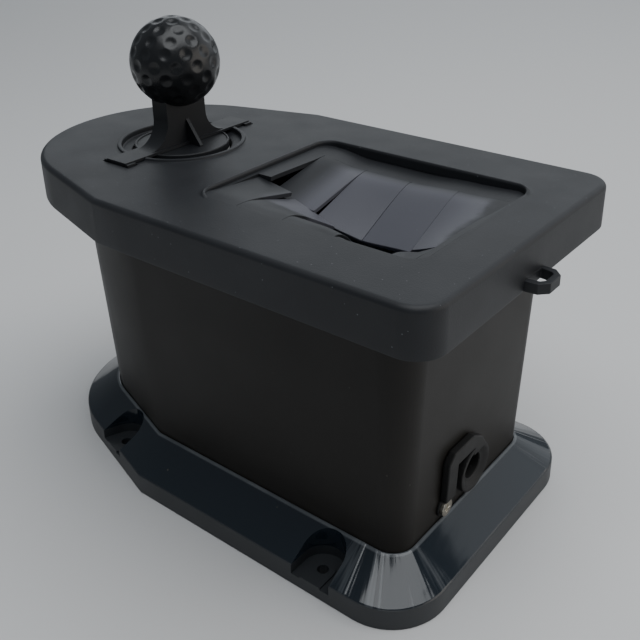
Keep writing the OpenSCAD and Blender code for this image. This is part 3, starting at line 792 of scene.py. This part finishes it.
def flap(node):
    """A strip of the slit sheet, bending down and twisting as it leaves its root."""
    left_hang, right_hang, length, level = FLAP_HANG[node]
    near = node.startswith("near")
    number = int(node[-1])
    slits = NEAR_SLITS if near else FAR_SLITS
    x0, x1 = slits[number - 1], slits[number]
    out = 1 if near else -1
    root = NEAR_ROOT if near else FAR_ROOT
    across, along = 12, 28
    tuck, flat = 2 * MM, level * MM
    reach = length * MM + tuck
    bpy.ops.object.select_all(action="DESELECT")
    bpy.ops.mesh.primitive_grid_add(x_subdivisions=across, y_subdivisions=along, size=2)
    obj = bpy.context.object
    obj.name = node + "_strip"
    for v in obj.data.vertices:
        u, t = (v.co.x + 1) / 2, (v.co.y + 1) / 2
        gap = SLIT / 2 * (0.3 + 0.7 * min(1, 2 * t))
        x = x0 + gap + (x1 - x0 - 2 * gap) * u
        hang = math.radians(left_hang + (right_hang - left_hang) * u)
        y, z, steps = -tuck, -0.03 * MM, 24
        for i in range(steps):
            s = (i + 0.5) / steps * t * reach - tuck
            bend = hang * 1.12 * (1 - math.exp(-max(s - flat, 0) / (5 * MM)))
            y += math.cos(bend) * reach * t / steps
            z -= math.sin(bend) * reach * t / steps
        v.co = (x, root + out * y, sheet_level(x, root) + z)
    recalculate(obj)
    if sum(p.normal.z for p in obj.data.polygons) < 0:
        edit(obj)
        bpy.ops.mesh.select_all(action="SELECT")
        bpy.ops.mesh.flip_normals()
        done(obj)
    apply_modifier(obj, "SOLIDIFY", thickness=SHEET_T, offset=-1)
    if node == "far_flap_4":
        cut(obj, box("notch", (93.5 * MM, -1.4 * MM, COVER_TOP - 20 * MM),
                     (96.8 * MM, 2.4 * MM, COVER_TOP + MM)))
    round_edges(obj, 0.18 * MM, 1, 50)
    soften(obj, 40)
    coat(obj, FINISHES["flap_rubber"])
    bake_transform(obj)
    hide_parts(node)
    return obj


# Knob and lifter --------------------------------------------------------------------------

# Latitude in degrees, number of dimples and first turn in degrees, of each ring
DIMPLE_RINGS = [(70, 6, 20), (53, 9, 9.7), (36, 11, 19.3), (20, 13, 0.6), (4, 13, 14),
                (-12, 13, 0), (-28, 12, 12), (-43, 9, 0)]
DIMPLE_R = 2.5 * MM
DIMPLE_DEPTH = 0.7 * MM
# Where a dimple's soft lip ends, in dimple radii
DIMPLE_LIP = 1.3


def ball_knob():
    """A golf ball's sparse round dimples pressed into a smooth ball."""
    centres = [Vector((0, 0, 1))]
    for lat, count, first in DIMPLE_RINGS:
        for i in range(count):
            turn = math.radians(first + i * 360 / count)
            flat = math.cos(math.radians(lat))
            centres.append(Vector((flat * math.cos(turn), flat * math.sin(turn),
                                   math.sin(math.radians(lat)))))
    bpy.ops.object.select_all(action="DESELECT")
    bpy.ops.mesh.primitive_ico_sphere_add(subdivisions=7, radius=KNOB_R)
    obj = bpy.context.object
    obj.name = "golf_ball_knob"
    for v in obj.data.vertices:
        way = v.co.normalized()
        nearest = max(way.dot(c) for c in centres)
        gap = math.acos(min(1, nearest)) * KNOB_R / DIMPLE_R
        lip = max(0.0, 1 - (gap / DIMPLE_LIP) ** 2)
        dip = DIMPLE_DEPTH * 1.1 * lip ** 1.6
        v.co = KNOB_CENTRE + way * (KNOB_R - dip)
    only(obj)
    bpy.ops.object.shade_smooth()
    return finish(obj, "ball_lifter", "knob_plastic", FINISHES["knob_plastic"], "ball_knob")


def disc_bead():
    """The raised rim of the disc that closes the port, as a ring of its own."""
    turned = [(23.15, -0.4), (23.15, 0.2), (23.0, 0.5), (22.6, 0.62), (22.2, 0.5), (22.0, 0.2),
              (22.0, -0.4)]
    rings = [circle_ring(PORT_X, 0, r * MM, COVER_TOP + z * MM) for r, z in turned]
    obj = loft("disc_bead", rings + [rings[0]])
    soften(obj, 50)
    return finish(obj, "ball_lifter", "knob_plastic", HANDLE)


# Base -------------------------------------------------------------------------------------

BASE_PLAN = [v * MM for v in (121.5, 74.8, 27.6, -36, -70.6, 61.2)]
TANK_PLAN = [v * MM for v in (103, 54, 10.6, -41.3, -72.2, 41.4)]
# Two near pockets as (x, y, turn in degrees); the far ones mirror them
POCKETS = [(71.6, 65.5, 0), (-65.8, 57.4, 21.8)]
SCREW_HOLES = [(88, 36), (88, -36), (-80, 16), (-80, -16)]
POCKET_WALL_R = 12.4 * MM
POCKET_R = 10.2 * MM
COLLAR_R = 5.4 * MM
BOLT_R = 2.6 * MM


def between(ring_a, ring_b, share):
    return [a.lerp(b, share) for a, b in zip(ring_a, ring_b)]


def cylinder(name, x, y, radius, low, high, count=64, top_radius=None):
    top_radius = radius if top_radius is None else top_radius
    return loft(name, [circle_ring(x, y, radius, low, count),
                       circle_ring(x, y, top_radius, high, count)], True, True)


def pocket_tool(x, y, turn, side, radius, low, high):
    """Cutter for a bolt pocket: a half round with straight sides that run out of the rim."""
    points = []
    for i in range(33):
        a = -math.pi + math.pi * i / 32
        points.append((radius * math.cos(a), radius * math.sin(a)))
    points += [(radius, 30 * MM), (-radius, 30 * MM)]
    c, s = math.cos(math.radians(turn)), math.sin(math.radians(turn))
    rings = []
    for z in (low, high):
        rings.append([Vector((x + px * c - py * s, side * (y + px * s + py * c), z))
                      for px, py in points])
    return loft("pocket", rings, True, True)


def mounting_base():
    """Hollow flange: upright rim, long polished slope, socket for the tank, bolt pockets."""
    tank_out = plan_ring(TANK_PLAN, -1.1 * MM, SLOPE_TOP - 0.1 * MM)
    rim_out = plan_ring(BASE_PLAN, 0.5 * MM, RIM_H)
    rings = [plan_ring(TANK_PLAN, -3 * MM, 0), plan_ring(TANK_PLAN, -3 * MM, 16.5 * MM),
             plan_ring(BASE_PLAN, 3 * MM, 9.2 * MM), plan_ring(BASE_PLAN, 3 * MM, 0),
             plan_ring(BASE_PLAN, 0.4 * MM, 0), plan_ring(BASE_PLAN, 0, 0.4 * MM),
             plan_ring(BASE_PLAN, 0, RIM_H - 0.6 * MM),
             plan_ring(BASE_PLAN, 0.12 * MM, RIM_H - 0.2 * MM)]
    rings += [between(rim_out, tank_out, i / 8) for i in range(9)]
    rings += [plan_ring(TANK_PLAN, -0.95 * MM, SLOPE_TOP), plan_ring(TANK_PLAN, -0.4 * MM, SLOPE_TOP),
              plan_ring(TANK_PLAN, -0.25 * MM, SLOPE_TOP - 0.15 * MM),
              plan_ring(TANK_PLAN, -0.25 * MM, 4 * MM)]
    base = loft("base_moulding", rings, cap_first=True, cap_last=True)
    for x, y, turn in POCKETS:
        for side in (-1, 1):
            wall = pocket_tool(x * MM, y * MM, turn, side, POCKET_WALL_R, -MM, 25 * MM)
            solid = loft("wall", [
                plan_ring(BASE_PLAN, 0.9 * MM, 0.3 * MM), plan_ring(BASE_PLAN, MM, RIM_H - 0.5 * MM),
                plan_ring(TANK_PLAN, -1.3 * MM, SLOPE_TOP - 0.9 * MM)], True, True)
            cut(solid, wall, "INTERSECT")
            cut(base, solid, "UNION")
            deep = pocket_tool(x * MM, y * MM, turn, side, POCKET_R, 5.8 * MM, 25 * MM)
            collar = pocket_tool(x * MM, y * MM, turn, side, COLLAR_R, 4 * MM, 6.8 * MM)
            cut(deep, collar)
            cut(base, deep)
            cut(base, cylinder("bolt_hole", x * MM, side * y * MM, BOLT_R, -MM, 20 * MM, 32))
    for x, y in SCREW_HOLES:
        cut(base, cylinder("screw_hole", x * MM, y * MM, 1.8 * MM, -MM, 6 * MM, 24))
        cut(base, cylinder("screw_sink", x * MM, y * MM, 3.9 * MM, -0.1 * MM, 1.9 * MM, 24, 1.9 * MM))
    recalculate(base)
    round_edges(base, 0.22 * MM, 2, 42)
    soften(base, 32)
    return finish(base, "tank_body", "gloss_abs", FINISHES["gloss_abs"], "mounting_base")


# Drain plug -------------------------------------------------------------------------------

# Where the drain's axis meets the tank's end wall, and the turn that lays it along that axis
DRAIN_X = 103.62 * MM
DRAIN_Z = 36.8 * MM
DRAIN_TURN = 92.32


def turned_ring(name, profile, count=72):
    """A ring turned about the drain's axis from a closed profile of (radius, height) in mm."""
    rings = [circle_ring(0, 0, r * MM, z * MM, count) for r, z in profile]
    return loft(name, rings + [rings[0]])


def plug_moulding():
    """Stopper with its cupped ring, finger tab and tether strip, moulded in one."""
    outline = [(4.4, -24.5), (-16.4, -24.5), (-20.4, -20.5), (-20.4, -4.5), (-15.8, 3.1),
               (-8.6, 8.3), (-8, -3), (-12.3, -3), (-12.3, -16.5), (4.4, -16.5)]
    low = [Vector((x * MM, y * MM, 0)) for x, y in outline]
    high = [Vector((x * MM, y * MM, 3.6 * MM)) for x, y in outline]
    plate = loft("plug", [low, high], True, True)
    round_edges(plate, 0.7 * MM, 3, 30)
    ring = turned_ring("lip", [(12.2, 0), (12.2, 2.9), (11.9, 3.4), (11.3, 3.6), (10.2, 3.45),
                               (8.8, 2.6), (7.6, 2.0), (6.6, 1.9), (6.2, 1.5), (6.2, -6),
                               (0.02, -6.05), (0.02, -9), (6.5, -9), (6.94, -8.6), (6.94, 0)])
    washer = turned_ring("washer", [(4.8, 0), (4.8, 0.75), (4.55, 1), (2.1, 1), (2.1, 0)])
    washer.data.transform(Matrix.Translation((8.8 * MM, -21.5 * MM, 0)))
    plug = joined(plate, ring, washer)
    plug.data.transform(
        Matrix.Translation((DRAIN_X, 0, DRAIN_Z))
        @ Matrix.Rotation(math.radians(DRAIN_TURN), 4, "Y")
        @ Matrix.Translation((0, 0, 0.2 * MM))
    )
    recalculate(plug)
    soften(plug, 35)
    coat(plug, FINISHES["plug_rubber"])
    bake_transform(plug)
    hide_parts("drain_plug", "plug_tether")
    return plug


# Brush tufts ------------------------------------------------------------------------------


TUFT_SIDES = 7
# How far along a tuft each of its rings lies, and that ring's radius in mm
TUFT_RINGS = [(0, 1.0), (0.5, 1.15), (0.93, 1.6), (1.0, 1.35)]
TUFT_MARGIN = 1.8 * MM


def tuft_pattern():
    """One plain tuft, whose rings lie at heights 0 to 3 until a copy's points are placed."""
    rings = [circle_ring(0, 0, 1, level, TUFT_SIDES) for level in range(len(TUFT_RINGS))]
    return loft("tuft", rings, cap_first=True, cap_last=True)


def tuft(pattern, spot, axis, spans, start, length):
    """A copy of the pattern that leans and frays by its own random draws."""
    lean = [random.uniform(-0.5, 0.5) * MM for _ in range(2)]
    tall = length * random.uniform(0.955, 0.995)
    points = []
    for share, radius in TUFT_RINGS:
        for k in range(TUFT_SIDES):
            turn = 2 * math.pi * k / TUFT_SIDES
            fray = 0.035 * tall * random.uniform(-1, 0) if share > 0.9 else 0
            p = list(spot)
            p[axis] = start + tall * share + fray
            p[spans[0]] += radius * MM * math.cos(turn) + lean[0] * share
            p[spans[1]] += radius * MM * math.sin(turn) + lean[1] * share
            points.append(p)
    obj = pattern.copy()
    obj.data = pattern.data.copy()
    bpy.context.scene.collection.objects.link(obj)
    for v in obj.data.vertices:
        side = round(math.atan2(v.co.y, v.co.x) / (2 * math.pi) * TUFT_SIDES) % TUFT_SIDES
        v.co = points[round(v.co.z) * TUFT_SIDES + side]
    return obj


def tufts(node, name, base_axis, pitch=5.2 * MM):
    """Rows of splayed nylon tufts that fill a bristle field, from its brush back inwards."""
    low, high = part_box(node)
    axis, start, length = base_axis(low, high)
    spans = [i for i in range(3) if i != axis]
    counts = [max(2, round((high[i] - low[i] - 3 * MM) / pitch)) for i in spans]
    pattern = tuft_pattern()
    copies = []
    for a in range(counts[0] + 1):
        for b in range(counts[1] + 1):
            spot = [0, 0, 0]
            for i, step, count in zip(spans, (a, b), counts):
                width = high[i] - low[i] - 2 * TUFT_MARGIN
                spot[i] = low[i] + TUFT_MARGIN + width * step / count
            copies.append(tuft(pattern, spot, axis, spans, start, length))
    bpy.data.objects.remove(pattern)
    obj = joined(*copies)
    obj.name = name
    recalculate(obj)
    only(obj)
    bpy.ops.object.shade_smooth_by_angle(angle=math.radians(60))
    return finish(obj, "tank_body", "blue_bristle", FINISHES["blue_bristle"], node)


def towards_far(low, high):
    return 1, low.y, high.y - low.y


def towards_near(low, high):
    return 1, high.y, low.y - high.y


def upwards(low, high):
    return 2, low.z, high.z - low.z


# Assembly ---------------------------------------------------------------------------------

top_cover()
rubber_sheet()
for flap_node in FLAP_HANG:
    flap(flap_node)
ball_knob()
disc_bead()
eased_copy("lifter_handle", 0.45 * MM, SLOTS["lifter_handle"], HANDLE)
mounting_base()
eased("tank", 0.8 * MM, segments=3)
plug_moulding()
for node in ("tether_screw", "clamp_screws", "cage_screws", "rack_screws", "holder_screws",
             "knob_screw", "tank_screws"):
    eased(node, 0.2 * MM)
for node in ("guard_clamp", "club_brush_rack", "ball_brush_holder", "near_club_brush_back",
             "far_club_brush_back", "floor_brush_back", "near_ball_brush_back",
             "far_ball_brush_back", "ball_cage"):
    eased(node, 0.4 * MM)
tufts("near_club_bristles", "near_club_tufts", towards_far)
tufts("far_club_bristles", "far_club_tufts", towards_near)
tufts("floor_bristles", "floor_tufts", upwards)
tufts("near_ball_bristles", "near_ball_tufts", towards_far)
tufts("far_ball_bristles", "far_ball_tufts", towards_near)

# Floor, light and camera ------------------------------------------------------------------


def stage_floor():
    bpy.ops.object.select_all(action="DESELECT")
    bpy.ops.mesh.primitive_plane_add(size=12, location=(0, 0, 0))
    floor = bpy.context.object
    floor.name = "floor"
    f = Finish("floor", (0.62, 0.62, 0.62), 0.9)
    floor.data.materials.append(f.material)


def soft_light(name, place, target, width, height, power, colour=(1, 1, 1)):
    data = bpy.data.lights.new(name, "AREA")
    data.shape = "RECTANGLE"
    data.size, data.size_y = width, height
    data.energy = power
    data.color = colour
    obj = bpy.data.objects.new(name, data)
    bpy.context.scene.collection.objects.link(obj)
    way = Vector(target) - Vector(place)
    obj.matrix_world = Matrix.Translation(place) @ way.to_track_quat("-Z", "Y").to_matrix().to_4x4()


def lighting():
    world = bpy.data.worlds.new("room")
    world.use_nodes = True
    world.node_tree.nodes["Background"].inputs[0].default_value = (0.84, 0.92, 1, 1)
    world.node_tree.nodes["Background"].inputs[1].default_value = 0.19
    bpy.context.scene.world = world
    middle = (0, 0, 0.1)
    soft_light("overhead", (0.25, -0.05, 1.3), middle, 1.5, 1.1, 16, (0.95, 0.975, 1))
    soft_light("back_wall", (-0.35, 1.7, 1.0), middle, 4.6, 1.5, 19, (0.92, 0.96, 1))
    soft_light("club_end", (1.7, 0.7, 0.6), middle, 1.8, 1.2, 11, (1, 0.93, 0.85))


def camera():
    data = bpy.data.cameras.new("camera")
    obj = bpy.data.objects.new("camera", data)
    bpy.context.scene.collection.objects.link(obj)
    azimuth, elevation, roll = (math.radians(a) for a in (37.9, 25.6, -0.7))
    middle = Vector((30.65, -0.2, 119.7)) * MM
    distance = 400.8 * MM
    back = Vector((math.sin(azimuth) * math.cos(elevation),
                   -math.cos(azimuth) * math.cos(elevation), math.sin(elevation)))
    forward = -back
    side = forward.cross(Vector((0, 0, 1))).normalized()
    up = side.cross(forward)
    right = side * math.cos(roll) + up * math.sin(roll)
    over = up * math.cos(roll) - side * math.sin(roll)
    turn = Matrix((right, over, back)).transposed().to_4x4()
    obj.matrix_world = Matrix.Translation(middle + back * distance) @ turn
    data.sensor_width = 36
    data.lens = 49.75
    data.shift_x = -0.027
    data.shift_y = -0.101
    data.clip_start = 0.01
    bpy.context.scene.camera = obj


stage_floor()
lighting()
camera()
